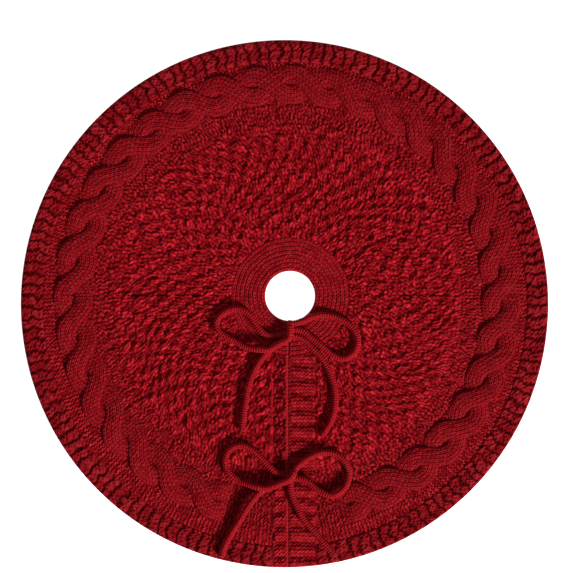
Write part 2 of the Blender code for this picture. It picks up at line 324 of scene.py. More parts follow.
def meshPiece(name, points, triangles, slotName, fields):
    mesh = bpy.data.meshes.new(name)
    mesh.vertices.add(len(points))
    mesh.vertices.foreach_set("co", np.ascontiguousarray(points, np.float32).ravel())
    mesh.loops.add(triangles.size)
    mesh.loops.foreach_set("vertex_index", np.ascontiguousarray(triangles, np.int32).ravel())
    mesh.polygons.add(len(triangles))
    mesh.polygons.foreach_set("loop_start", np.arange(0, triangles.size, 3, dtype=np.int32))
    mesh.update(calc_edges=True)
    mesh.shade_smooth()
    for field, values in zip(fieldNames, fields):
        layer = mesh.attributes.new(field, "FLOAT", "POINT")
        layer.data.foreach_set("value", np.ascontiguousarray(values, np.float32).ravel())
    mesh.materials.append(yarnOf[slotName])
    piece = newObject(name, mesh)
    return piece


def split(corners):
    # Four corners of each cell, in order round it, to two triangles.
    return np.concatenate([corners[..., [0, 1, 2]].reshape(-1, 3), corners[..., [0, 2, 3]].reshape(-1, 3)])


def facingOut(points, triangles):
    # The triangles of a closed shape, turned round if the volume that they sum up to is below 0.
    a, b, c = (points[triangles[:, i]] for i in range(3))
    return triangles[:, ::-1] if np.einsum("ij,ij->", a, np.cross(b, c)) < 0 else triangles


def gridCells(rows, columns):
    start = np.arange(rows - 1)[:, None] * columns + np.arange(columns - 1)
    return np.stack([start, start + 1, start + columns + 1, start + columns], -1)


def slabPiece(name, x, y, z, otherZ, slotName, fields, plainRows):
    # A relief z over the grid (x, y), closed by straight walls and a plain side at otherZ. The plain side
    # keeps only plainRows of the grid's rows, and each end wall is one fan between two of them.
    rows, columns = x.shape
    kept = np.unique(np.linspace(0, rows - 1, plainRows).round().astype(int))
    relief = np.stack([x, y, z], -1).reshape(-1, 3)
    plain = np.stack([x[kept], y[kept], np.full((len(kept), columns), otherZ)], -1).reshape(-1, 3)
    points = np.concatenate([relief, plain])
    size = rows * columns
    first = np.arange(columns)
    last = first + size - columns
    under = first + size
    over = under + (len(kept) - 1) * columns
    strips = [
        np.stack([first[:-1], under[:-1], under[1:], first[1:]], -1),
        np.stack([last[:-1], last[1:], over[1:], over[:-1]], -1),
        (gridCells(len(kept), columns) + size)[..., [0, 3, 2, 1]],
    ]
    fans = []
    for column, turn in ((0, 1), (columns - 1, -1)):
        for k, (start, end) in enumerate(zip(kept, kept[1:])):
            near = size + k * columns + column
            rim = np.arange(start, end + 1) * columns + column
            fan = np.stack([np.full(end - start, near), rim[:-1], rim[1:]], -1)
            fan = np.concatenate([fan, [[near, rim[-1], near + columns]]])
            fans.append(fan[:, ::turn])
    triangles = np.concatenate([split(gridCells(rows, columns))] + [split(s) for s in strips] + fans)
    padded = [np.concatenate([values.ravel(), values[kept].ravel()]) for values in fields]
    return meshPiece(name, points, facingOut(points, triangles), slotName, padded)


stitchSettings = {
    "wale": 0.0078,         # column of stitches, across
    "course": 0.0080,       # row of stitches, along
    "slant": 0.62,          # how steeply a knit stitch's two legs lean
}


def fraction(values):
    return values - np.floor(values)


def chance(first, second, seed):
    # A fixed pseudo-random number from 0 to 1 for each pair of whole numbers.
    return fraction(np.sin(first * 12.9898 + second * 78.233 + seed * 37.719) * 43758.5453)


def ease(values, start, end):
    # Smooth step: 0 at start, 1 at end, level at both.
    t = np.clip((values - start) / (end - start), 0, 1)
    return t * t * (3 - 2 * t)


def softWaves(x, y):
    # Slow swells of the cloth: a sum of long sine waves in several directions, from about -1 to 1.
    return 0.4 * (np.sin(9.1 * x + 4.2 * y + 0.7) + np.sin(-6.3 * x + 11.7 * y + 2.1)
                  + 0.7 * np.sin(17.0 * x - 13.0 * y + 4.0) + 0.6 * np.sin(21.0 * x + 26.0 * y + 1.3))


def lerp(first, second, share):
    return first + (second - first) * share


def latticeNoise(x, y, size, seed):
    # Uneven hand tension: random values from -1 to 1 on a square lattice, blended smoothly
    # between its points.
    column, row = np.floor(x / size), np.floor(y / size)
    right, up = ease(fraction(x / size), 0, 1), ease(fraction(y / size), 0, 1)
    near = lerp(chance(column, row, seed), chance(column + 1, row, seed), right)
    far = lerp(chance(column, row + 1, seed), chance(column + 1, row + 1, seed), right)
    return 2 * lerp(near, far, up) - 1


def tension(x, y, waves):
    # A sum of lattice noises, each given as its height, its cells' size and its seed.
    return sum(height * latticeNoise(x, y, size, seed) for height, size, seed in waves)


def knitStitch(wale, course):
    # Two legs to a wale, each a rounded band that leans outwards as it climbs: the distance from the wale's
    # middle gives the leg's cross profile, and course minus slant times that distance the place along it.
    aside = np.abs(fraction(wale) - 0.5) * 2
    across = 1 - np.abs(2 * aside - 1) ** 2.2 * (0.35 + 0.65 * aside)
    climb = course - stitchSettings["slant"] * aside
    along = 1 - np.abs(2 * fraction(climb) - 1) ** 2.2
    leg = np.floor(wale) * 2 + (fraction(wale) > 0.5)
    return across * (0.35 + 0.65 * along), leg, np.floor(climb)


def purlStitch(wale, course):
    # Rows of small arcs: each row waves by one stitch, and is nicked between its stitches.
    bend = course + 0.20 * np.cos(tau * wale)
    row = np.floor(bend)
    ridge = 1 - np.abs(2 * (bend - row) - 1) ** 1.7
    nick = 0.72 + 0.28 * np.abs(np.sin(math.pi * (wale + 0.25 * np.mod(row, 2))))
    return ridge * nick, np.floor(wale + 0.25 * np.mod(row, 2)), row


def stitchedHeight(base, relief, pattern, seed, rough=0.35):
    # The base height plus the relief, with each stitch a little fuller or flatter than its neighbours, and
    # the painted shade between the stitches.
    height, column, row = pattern
    random = chance(column, row, seed)
    full = height * (1 - rough + rough * random)
    return base + relief * (full - 0.55), random, hollows(full)


def hollows(full, sharpness=1.25):
    # Painted shade: how dark a place lies between the stitches, 1 in the gap, 0 from the upper part of a
    # stitch.
    return np.clip(1 - sharpness * full, 0, 1) ** 1.1


def rounded(distance, radius):
    # Quarter-circle edge: 0 on the edge, 1 from radius inwards.
    t = np.clip(1 - distance / radius, 0, 1)
    return np.sqrt(1 - t * t)


backingTop = 2.6 * millimetre       # the face stitches stand on the cloth's back layer
# Each band's own height in its middle, and the heights it shares with its two neighbours, from the hole out
# to the rim. All are in millimetres, and so are the grid's cells, out from the hole and along the arc.
bandSettings = {
    "collar": {"height": 7.3, "cell": 1.20, "arcCell": 1.30, "slot": "collar_yarn"},
    "moss_field": {"height": 7.8, "cell": 1.95, "arcCell": 1.25, "slot": "moss_yarn"},
    "inner_gutter": {"height": 6.2, "cell": 1.80, "arcCell": 1.20, "slot": "purl_yarn"},
    "cable_band": {"height": 5.6, "cell": 1.20, "arcCell": 1.30, "slot": "cable_yarn"},
    "outer_gutter": {"height": 5.0, "cell": 1.60, "arcCell": 1.20, "slot": "purl_yarn"},
    "border": {"height": 6.8, "cell": 1.35, "arcCell": 1.30, "slot": "border_yarn"},
}
sharedHeights = (6.6, 6.6, 7.2, 5.0, 5.0, 5.2, 6.0)
seamsBefore = ("collar", "outer_gutter")    # bands with a seam along their outer circle
seamsAfter = ("moss_field", "border")       # and along their inner circle
seamReach = 0.0025
seamDepth = 0.0008
shoulder = 0.006                    # over which a band reaches its own height
swellHeight = 0.9                   # millimetres, of the cloth's slow swells
edgeRounding = 0.005
rimRounding = 1.4 * edgeRounding
backingOverlap = 0.0004             # how far a face piece reaches into the back layer
faceClear = 0.0002                  # least height of a face above the backing
bendCell = 0.008                    # between rows of the plain side, on the flaps' bands and on the back layer


def bandGrid(inner, outer, side, line, cell, arcCell=None):
    # Arcs of circles that change evenly from the inner one to the outer one, each cut by the crease and,
    # on a flap, by the straight line x = line. u runs along an arc, v from the inner circle to the outer.
    width = outer[2] - inner[2]
    rows = max(6, round(width / cell)) + 1
    v = np.linspace(0, 1, rows)[:, None]
    cx, cy, radius = (lerp(inner[i], outer[i], v) for i in range(3))
    right = np.arcsin((creaseY - cy) / radius)
    if side == "rear":
        start, end = right, math.pi - right
    else:
        front = -np.arccos((line - cx) / radius)
        start, end = (front, right) if side == "right" else (math.pi - right, front + tau)
    longest = float((outer[2] + inner[2]) / 2 * (end - start).mean())
    u = np.linspace(0, 1, round(longest / (arcCell or cell)) + 1)[None, :]
    angle = lerp(start, end, u)
    return {
        "x": cx + radius * np.cos(angle), "y": cy + radius * np.sin(angle), "v": v + 0 * u,
        "radius": radius + 0 * u, "angle": angle, "width": width,
    }


def clockwise(grid):
    # Turn from the slit at 6 o'clock, clockwise seen from above, from 0 to a full turn.
    return np.mod(-math.pi / 2 - grid["angle"], tau)


def bandBase(name, grid):
    # The band's own height in its middle, easing to the shared heights of its two boundaries.
    i = bandNames.index(name)
    fromInner = grid["v"] * grid["width"]
    toOuter = grid["width"] - fromInner
    base = lerp(sharedHeights[i], bandSettings[name]["height"], ease(fromInner, 0, shoulder))
    base = lerp(sharedHeights[i + 1], base, ease(toOuter, 0, shoulder))
    swell = swellHeight * softWaves(grid["x"], grid["y"])
    return (base + swell) * millimetre, fromInner, toOuter


# In these settings a wander or grain is a list of noises: height, size and seed.
collarSettings = {
    "wale": 0.0094,
    "course": 0.0082,
    "relief": 0.0030,
    "groove": 0.0010,
    "waleWander": ((0.10, 0.030, 21),),
    "courseWander": ((0.15, 0.020, 22),),
}


def collarRelief(grid, base):
    # Rings of knit stitches, each ring with its own whole number of them. The groove between rings is the
    # fifth power of the distance from the ring's middle.
    s = collarSettings
    x, y = grid["x"], grid["y"]
    wale = grid["v"] * round(grid["width"] / s["wale"]) + tension(x, y, s["waleWander"])
    ringRadius = grid["radius"] + (np.floor(wale) + 0.5 - wale) * s["wale"]
    course = clockwise(grid) / tau * np.round(tau * ringRadius / s["course"])
    course = course + tension(x, y, s["courseWander"])
    height, tint, paintedshade = stitchedHeight(base, s["relief"], knitStitch(wale, course), 1, 0.4)
    groove = np.abs(2 * fraction(wale) - 1) ** 5
    # The groove between rings is also darkened with painted shade.
    return height - s["groove"] * groove, wale, course, tint, np.maximum(paintedshade, 0.5 * groove)


mossSettings = {
    "wedges": 18,           # short-row wedges round the skirt
    "wale": 0.0102,
    "course": 0.0090,
    "pillow": 0.0034,
    "flatRow": 0.0014,      # relief of the rows in the purl squares
    "fullRow": 0.0020,      # and in the knit squares
    "zigzag": 0.0150,       # length of one wave of a purl row
    "creaseDepth": 0.0026,
    "creaseWidth": 0.0060,
    "broken": 0.6,          # how far a wale's rows miss the next wale's, as a share of a row
    "wave": (0.24, 0.12),   # swing of a row, as a share of it, where the moss is loose and where it is full
    "uneven": (0.12, 0.18),
    "unevenCell": 0.0080,
    "alongWander": ((0.0042, 0.050, 31), (0.0036, 0.018, 32)),
    "acrossWander": ((0.0034, 0.045, 33), (0.0032, 0.016, 34)),
    "squareWander": ((0.22, 0.014, 35),),
    "nickWander": ((0.45, 0.0160, 40), (0.25, 0.0070, 46)),
    "waveWander": ((0.6, 0.021, 36),),
    "grain": ((0.0021, 0.0048, 38),),
    "edgeWander": ((0.014, 0.040, 39),),
    "fadeWander": ((0.25, 0.030, 44),),
    "looseReach": 0.022,    # over which the moss loosens before the gutter
}


def wedgeRows(grid, swirl):
    # Rows of stitches as short rows lay them: in each wedge they run parallel to its middle line, and
    # neighbouring wedges meet in a soft crease. swirl bends the wedges' edges, from 0 at the collar to 1.
    s = mossSettings
    turn = clockwise(grid)
    wedgeAngle = tau / s["wedges"]
    inWedges = turn / wedgeAngle + 0.10 * np.sin(7 * swirl + 0.6) + 0.16 * np.sin(3 * turn + 4 * swirl)
    wedge = np.floor(inWedges)
    aside = (inWedges - wedge - 0.5) * wedgeAngle
    x, y = grid["x"], grid["y"]
    wale = (grid["radius"] - circleOf["collar"][2] + tension(x, y, s["alongWander"])) / s["wale"]
    shift = np.floor(4 * chance(wedge, 0, 5))
    course = (grid["radius"] * np.sin(aside) + tension(x, y, s["acrossWander"])) / s["course"] + shift
    toCrease = (0.5 - np.abs(inWedges - wedge - 0.5)) * wedgeAngle * grid["radius"]
    nearest = np.round(inWedges)
    strength = ease(chance(nearest, 0, 7) + 0.5 * np.sin(5 * swirl + nearest), 0.3, 1.2)
    return wale, course, strength * np.exp(-(toCrease / s["creaseWidth"]) ** 2)


def mossRows(grid, base, swirl, squares):
    # Rows of bumps, one to a stitch, each row waving along its length: a row's ridge is 1 less a power of
    # the distance from its middle, nicked by a sine between stitches. squares, from 0 to 1, is how much the
    # rows gather into double moss: pillows of two wales by two courses, full and flat in turn, from the
    # product of a sine of the wale and one of the course, steepened by a root.
    s = mossSettings
    x, y = grid["x"], grid["y"]
    wale, course, crease = wedgeRows(grid, swirl)
    puff = chance(np.floor(wale / 2), np.floor(course / 2), 3)
    square = np.sin(math.pi * wale / 2) * np.sin(math.pi * course / 2) + tension(x, y, s["squareWander"])
    dome = np.sign(square) * np.abs(square) ** 0.6 * squares
    raised = np.where(dome > 0, dome, 0.5 * dome)
    outline = np.exp(-(square / 0.22) ** 2) * squares
    shifted = wale + tension(y, x, s["nickWander"])
    broken = s["broken"] * squares * latticeNoise(3 * np.floor(shifted), course, 3.0, 47)
    wave = lerp(*s["wave"], squares) * (1 + tension(x, y, s["waveWander"]))
    uneven = lerp(*s["uneven"], squares) * latticeNoise(x, y, s["unevenCell"], 37)
    bend = course + wave * np.sin(tau * wale * s["wale"] / s["zigzag"]) + uneven + broken
    row = np.floor(bend)
    ridge = 1 - np.abs(2 * (bend - row) - 1) ** 1.8
    nick = 1 - 0.60 * (1 - np.abs(np.sin(math.pi * shifted))) ** 1.6
    random = chance(np.floor(shifted), row, 2)
    stitch = ridge * nick * (0.55 + 0.45 * random)
    share = ease(dome, -0.8, 0.8)
    height = base + s["pillow"] * raised * (0.5 + 0.9 * puff) - s["creaseDepth"] * crease
    height = height + lerp(s["flatRow"], s["fullRow"], share) * (stitch - 0.5)
    height = height + tension(x, y, s["grain"])
    # Painted shade: dark in the gaps between stitches, more on the lower purl squares and along the squares'
    # outlines.
    gap = lerp(1, ease(dome, -1.0, 0.2), squares)
    paintedshade = np.clip(hollows(stitch * lerp(0.62, 1.0, gap), 1.22) + 0.22 * outline, 0, 1)
    return height, wale, course, 0.5 * (random + puff), paintedshade


def mossRelief(grid, base):
    # Double moss that loosens to half before the gutter, over an uneven line.
    s = mossSettings
    edge = (1 - grid["v"]) * grid["width"] + tension(grid["x"], grid["y"], s["edgeWander"])
    return mossRows(grid, base, grid["v"], lerp(0.5, 1.0, ease(edge, 0.0, s["looseReach"])))


def innerGutterRelief(grid, base):
    # The moss field's rows run on, and its squares fade out into plain purl rows.
    wander = tension(grid["x"], grid["y"], mossSettings["fadeWander"])
    fade = grid["v"] + wander * np.sin(math.pi * grid["v"])
    return mossRows(grid, base, 1.0, 0.5 * (1 - ease(fade, 0.1, 0.9)))


purlSettings = {
    "wale": 0.0086,
    "courses": 390,
    "relief": 0.0040,
    "wander": ((0.0016, 0.030, 41), (0.0010, 0.012, 42)),
    "courseWander": ((0.22, 0.0075, 45),),
    "grain": ((0.0011, 0.0048, 43),),
}


def purlRelief(grid, base):
    # Reverse side of the knitting, all purl bumps, in rings round the skirt's own middle: the wale is the
    # distance from it and the course is the share of a turn.
    s = purlSettings
    x, y = grid["x"], grid["y"]
    wander = tension(x, y, s["wander"])
    wale = (np.hypot(x, y) + wander - circleOf["border"][2]) / s["wale"]
    course = np.mod(-math.pi / 2 - np.arctan2(y, x), tau) / tau * s["courses"] + wander / s["wale"]
    course = course + tension(x, y, s["courseWander"])
    height, tint, paintedshade = stitchedHeight(base, s["relief"], purlStitch(wale, course), 4, 0.5)
    return height + tension(x, y, s["grain"]), wale, course, tint, paintedshade


cableSettings = {
    "firstTurn": 19.0,      # degrees clockwise from the slit to the first crossing
    "lastTurn": 343.0,
    "crossings": 32,
    "swing": 0.56,          # how far a strand's middle swings, as a share of half the band
    "strand": 0.49,         # half a strand's width, as the same share
    "wales": 5,
    "lift": 0.0032,
    "crown": 0.0060,
    "relief": 0.0036,
    "courses": 11.5,        # rows of stitches to one crossing
    "wander": ((1.0, 0.016, 51),),
    "grain": ((0.0006, 0.0055, 52),),
}


def cableRelief(grid, base):
    # Rope cable: strand k swings from the outer edge to the inner one as a cosine of the place along the
    # band, rises over its neighbour as the sine and dives under the next. The upper strand is what shows.
    s = cableSettings
    pitch = math.radians((s["lastTurn"] - s["firstTurn"]) / s["crossings"])
    along = (clockwise(grid) - math.radians(s["firstTurn"])) / pitch
    across = 2 * grid["v"] - 1
    middle = float(grid["radius"].mean())
    steep = s["swing"] * 0.5 * grid["width"] * math.pi / (pitch * middle)
    shown = [np.full(along.shape, -1.0)] + [np.zeros_like(along)] * 4
    for step in (-1, 0, 1):
        strand = np.floor(along) + step
        phase = math.pi * (along - strand)
        centre = s["swing"] * np.cos(phase)
        halfWidth = s["strand"] * np.sqrt(1 + (steep * np.sin(phase)) ** 2)
        off = (across - centre) / halfWidth
        inRange = (along - strand > -0.5) & (along - strand < 1.5) & (np.abs(off) < 1)
        dome = np.sqrt(np.clip(1 - off ** 2, 0, 1))
        lift = s["lift"] * np.sin(phase) + s["crown"] * dome
        lift = np.where(inRange, lift, -1.0)
        own = (lift, (0.5 + 0.5 * off) * s["wales"], (along - strand) * s["courses"], strand, np.abs(off))
        upper = lift > shown[0]
        shown = [np.where(upper, new, old) for new, old in zip(own, shown)]
    best, wale, course, strandOf, edgeOf = shown
    knitting = ease(along, -0.30, 0.05) * (1 - ease(along, s["crossings"] - 0.05, s["crossings"] + 0.30))
    onStrand = best > -0.5
    best = np.where(onStrand, best, 0.0) * knitting
    inner = mossRows(grid, base, 1.0, 0.0)
    outer = purlRelief(grid, base)
    share = ease(grid["v"], 0.40, 0.60)
    ground = [lerp(a, b, share) for a, b in zip(inner, outer)]
    wander = tension(grid["x"], grid["y"], s["wander"])
    pattern = knitStitch(wale + 0.12 * wander, course + 31 * strandOf + 0.15 * wander)
    stitches, tint, paintedshade = stitchedHeight(base + best, s["relief"], pattern, 10, 0.35)
    stitches = stitches + tension(grid["x"], grid["y"], s["grain"])
    # Painted shade also darkens each strand towards its edges, in the creases between strands.
    paintedshade = np.maximum(paintedshade, 0.8 * edgeOf ** 8)
    show = onStrand & (knitting > 0.02) & (stitches > ground[0])
    rope = (stitches, wale, course, tint, paintedshade)
    return tuple(np.where(show, own, under) for own, under in zip(rope, ground))


borderSettings = {
    "ridges": 145,
    "bobbles": 3,
    "wales": 5.5,
    "ridge": 0.0029,
    "stitch": 0.0026,
    "sway": 0.10,           # how far the bobbles of a rib stand left and right of its middle
    "ribWander": ((0.20, 0.030, 61), (0.15, 0.011, 62)),
    "bobbleWander": ((0.20, 0.024, 63),),
    "grain": ((0.0015, 0.0052, 66),),
}


def borderRelief(grid, base):
    # Ribs across the band, with a deep hollow between them: each is a raised cosine of the turn, pinched
    # into bobbles by a sine of the place along it, which also sways them left and right of its middle.
    s = borderSettings
    x, y = grid["x"], grid["y"]
    place = grid["v"] * s["bobbles"] + tension(x, y, s["bobbleWander"])
    phase = clockwise(grid) / tau * s["ridges"] + tension(x, y, s["ribWander"])
    phase = phase + s["sway"] * np.sin(math.pi * place)
    ridgeNumber = np.floor(phase)
    ridge = (0.5 - 0.5 * np.cos(tau * (phase - ridgeNumber))) ** 0.75
    own = place + 0.5 * chance(ridgeNumber, 0, 64)
    bobble = np.abs(np.sin(math.pi * own))
    random = chance(ridgeNumber, np.floor(own), 11)
    wale = grid["v"] * s["wales"]
    course = phase * 2
    stitch, column, row = purlStitch(wale, course)
    body = ridge * (0.30 + 0.70 * bobble ** 0.6) * (0.60 + 0.60 * random)
    fullness = 0.6 + 0.8 * chance(column, row, 65)
    height = base + s["ridge"] * (body - 0.45) + s["stitch"] * (stitch - 0.5) * fullness
    height = height + tension(x, y, s["grain"])
    # Painted shade in the hollows between the ribs and between the stitches.
    paintedshade = hollows(0.90 * body + 0.40 * stitch, 1.15)
    return height, wale, course, random, paintedshade


reliefOf = {
    "collar": collarRelief, "moss_field": mossRelief, "inner_gutter": innerGutterRelief,
    "cable_band": cableRelief, "outer_gutter": purlRelief, "border": borderRelief,
}


def addPiece(piece, side, nodes):
    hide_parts(*nodes)
    if side == "rear":
        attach(piece, "rear_half")
    else:
        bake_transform(piece)
    return piece


def facePiece(side, name, x, y, height, slotName, fields, plainRows):
    plainZ = backingTop - backingOverlap
    piece = slabPiece(f"{side}_{name}_knit", x, y, height, plainZ, slotName, fields, plainRows)
    return addPiece(piece, side, [f"{side}_{name}"])


def bandPiece(side, name, inner, outer):
    own = bandSettings[name]
    line = slitX if name == "collar" else facingEnds.get(side, 0.0)
    grid = bandGrid(inner, outer, side, line, own["cell"] * millimetre, own["arcCell"] * millimetre)
    base, fromInner, toOuter = bandBase(name, grid)
    height, wale, course, tint, paintedshade = reliefOf[name](grid, base)
    if side != "rear" and name != "collar":
        height, paintedshade = easeToJoin(grid["x"], grid["y"], height, paintedshade, np.abs(grid["x"] - line))
    seam = ease(fromInner if name in seamsAfter else 1.0, 0, seamReach)
    seam = seam * ease(toOuter if name in seamsBefore else 1.0, 0, seamReach)
    height = lerp(base - seamDepth, height, seam)
    if name == "collar":
        lip = rounded(fromInner, edgeRounding)
        if side != "rear":
            lip = lip * rounded(np.abs(grid["x"] - slitX), edgeRounding)
        height = lerp(backingTop, height, lip)
    if name == "border":
        height = lerp(backingTop, height, rounded(toOuter, rimRounding))
    height = np.maximum(height, backingTop + faceClear)
    plainRows = 2 if side == "rear" else round(grid["width"] / bendCell) + 2
    fields = (wale, course, paintedshade, tint)
    return facePiece(side, name, grid["x"], grid["y"], height, own["slot"], fields, plainRows)


joinSettings = {"reach": 0.0055, "height": 0.0064, "relief": 0.0011, "cell": 0.0050, "shade": 0.35}
facingSettings = {
    "cell": 1.35,           # millimetres, as the next two are
    "height": 6.8,
    "swell": 0.7,
    "selvedge": {"left": 0.0085, "right": 0.0042},
    "ladderPitch": 0.0342,
    "ladderFrom": -0.1252,
    "ladderRelief": 0.0050,
    "relief": 0.0034,
    "wale": 0.0088,
    "course": 0.0086,
    "mossTo": 0.40,         # the left facing's moss ends this far in front of the middle
    "mossFade": 0.03,
    "wander": ((0.0022, 0.030, 71), (0.0012, 0.011, 72)),
    "grain": ((0.0008, 0.0050, 74),),
    "edgeRelief": 0.0024,   # of the column of stitches on the slit
    "lip": 0.0035,
    "collarDrop": 0.8,      # millimetres, where the facing meets the collar
}


def frontOf(circle, x):
    return circle[1] - np.sqrt(circle[2] ** 2 - (x - circle[0]) ** 2)


def easeToJoin(x, y, height, paintedshade, distance):
    # Near the line between a band and its facing, both take one shared height and painted shade, so no step
    # shows.
    s = joinSettings
    near = 1 - ease(distance, 0, s["reach"])
    grain = latticeNoise(x, y, s["cell"], 81)
    return lerp(height, s["height"] + s["relief"] * grain, near), lerp(paintedshade, s["shade"] * (1 - grain), near)


def facingPiece(side):
    # A straight band beside the slit, from the collar to the outer edge: a column of knit stitches on the
    # slit, then purl bumps on rolled bars, which are a raised cosine of the place along the slit. On the
    # left, double moss takes the bars' place further up.
    s = facingSettings
    cell = s["cell"] * millimetre
    end = facingEnds[side]
    outwards = 1 if side == "right" else -1
    selvedge = s["selvedge"][side]
    columns = round(abs(end - slitX) / cell) + 1
    x = np.linspace(slitX + outwards * 0.00015, end, columns)[None, :]
    high = frontOf(circleOf["collar"], x)
    low = frontOf(edgeCircle, x)
    rows = round(float((high - low).mean()) / cell) + 1
    share = np.linspace(0, 1, rows)[:, None]
    y = lerp(high, low, share)
    x = x + 0 * share
    aside = np.abs(x - slitX)
    base = (s["height"] + s["swell"] * softWaves(x, y)) * millimetre
    wave = tension(x, y, s["wander"])
    barPhase = (y - s["ladderFrom"] + wave + 0.10 * (aside - 0.02)) / s["ladderPitch"]
    bar = (0.5 + 0.5 * np.cos(tau * barPhase)) ** 0.7
    bar = bar * (0.7 + 0.6 * chance(np.round(barPhase), 0, 73))
    bar = bar * ease(aside, 0.6 * selvedge, 1.3 * selvedge)
    wale = (aside + 0.3 * wave) / s["wale"]
    course = (-y + wave) / s["course"]
    stitch, column, row = purlStitch(wale, course)
    tint = chance(column, row, 12)
    full = stitch * (0.45 + 0.55 * tint)
    height = base + s["ladderRelief"] * (bar - 0.45) + s["relief"] * (full - 0.5)
    height = height + tension(x, y, s["grain"])
    # Painted shade in the gaps between the stitches and between the bars.
    paintedshade = hollows(0.55 * full + 0.65 * bar * full + 0.15 * bar, 1.35)
    if side == "left":
        toX, toY = x - holeX, y - holeY
        plan = {"x": x, "y": y, "radius": np.hypot(toX, toY), "angle": np.arctan2(toY, toX)}
        mossHeight, _, _, mossTint, mossPaintedShade = mossRows(plan, base, 0.5, 1.0)
        lower = ease(-y + 3 * wave, s["mossTo"], s["mossTo"] + s["mossFade"])
        height = lerp(mossHeight, height, lower)
        tint = lerp(mossTint, tint, lower)
        paintedshade = lerp(mossPaintedShade, paintedshade, lower)
    height, paintedshade = easeToJoin(x, y, height, paintedshade, np.abs(x - end))
    toCollar = ease(high - y, 0, 0.004)
    atCollar = sharedHeights[1] - s["collarDrop"] + swellHeight * softWaves(x, y)
    height = lerp(atCollar * millimetre, height, toCollar)
    edge = knitStitch(aside / selvedge, course)[0]
    onSelvedge = 1 - ease(aside, 0.85 * selvedge, 1.1 * selvedge)
    height = lerp(height, base + s["edgeRelief"] * (edge - 0.6), onSelvedge)
    # Painted shade between the selvedge's stitches.
    paintedshade = lerp(paintedshade, hollows(edge), onSelvedge)
    lip = rounded(aside, s["lip"]) * rounded(y - low, rimRounding)
    height = np.maximum(lerp(backingTop, height, lip), backingTop + faceClear)
    return facePiece(side, "facing", x, y, height, "facing_yarn", (wale, course, paintedshade, tint), 2)


def makeBands():
    made = {}
    for side in ("rear", "left", "right"):
        made[side] = [
            bandPiece(side, name, circles[i], circles[i + 1]) for i, name in enumerate(bandNames)
        ]
        if side != "rear":
            made[side].append(facingPiece(side))
        print("knitted", side)
    return made


backSettings = {
    "cell": 3.0,            # millimetres, as the next one is
    "top": 3.0,
    "clear": 0.0002,        # above the floor
    "relief": 0.0011,
    "ring": 0.06,           # the rows' number grows by one step for each ring of this width
    "step": 0.06,
    "shade": 0.40,          # painted shade in the hollows of the back
    "wander": ((0.5, 0.060, 91), (0.3, 0.022, 92)),
    "grain": ((0.3, 0.012, 93),),
    "lift": 0.0016,         # of the rim, off the floor
    "lip": 0.004,
}


def backPiece(side):
    # The reverse of the knitting: one thin sheet from the hole to the rim, its underside gently bumped by
    # the squares and rows of the face.
    s = backSettings
    grid = bandGrid(circleOf["hole"], edgeCircle, side, slitX, s["cell"] * millimetre)
    x, y, radius = grid["x"], grid["y"], grid["radius"]
    wander = tension(x, y, s["wander"])
    wale = radius / (2 * stitchSettings["wale"]) + wander
    turns = np.maximum(2, np.floor(radius / s["ring"])) * s["step"]
    course = clockwise(grid) * turns / (2 * stitchSettings["course"]) + wander
    bumps = 0.5 + 0.5 * np.sin(math.pi * wale) * np.sin(math.pi * course)
    bumps = np.clip(bumps + tension(x, y, s["grain"]), 0, 1)
    z = s["clear"] + s["relief"] * bumps
    rim = np.minimum(grid["v"], 1 - grid["v"]) * grid["width"]
    z = z + s["lift"] * (1 - rounded(rim, s["lip"]))
    tint = chance(np.floor(wale), np.floor(course), 13)
    fields = (2 * wale, 2 * course, s["shade"] * bumps, tint)
    plainRows = round(grid["width"] / bendCell)
    piece = slabPiece(f"{side}_back_layer", x, y, z, s["top"] * millimetre, "purl_yarn", fields, plainRows)
    return addPiece(piece, side, [])


cordSettings = {
    "diameter": 0.0115,
    "level": 0.0118,        # one cord over another
    "restGap": 0.0013,
    "restReach": 0.8,       # of a diameter
    "step": 0.0012,
    "around": 24,
    "wales": 6,
    "course": 0.0056,
    "relief": 0.0018,
    "across": 0.55,         # how much the ribs across the cord hide its wales
    "rib": 0.0006,          # swelling of the cord at each row of stitches
    "tip": 0.005,
    "tipShare": 0.12,       # of the cord's radius, left at the very end
    "thickness": 0.62,      # mean radius, as a share of the diameter, with the fibres that stand out
    "wrap": 1.06,           # the knot's own strand is a little thicker
}

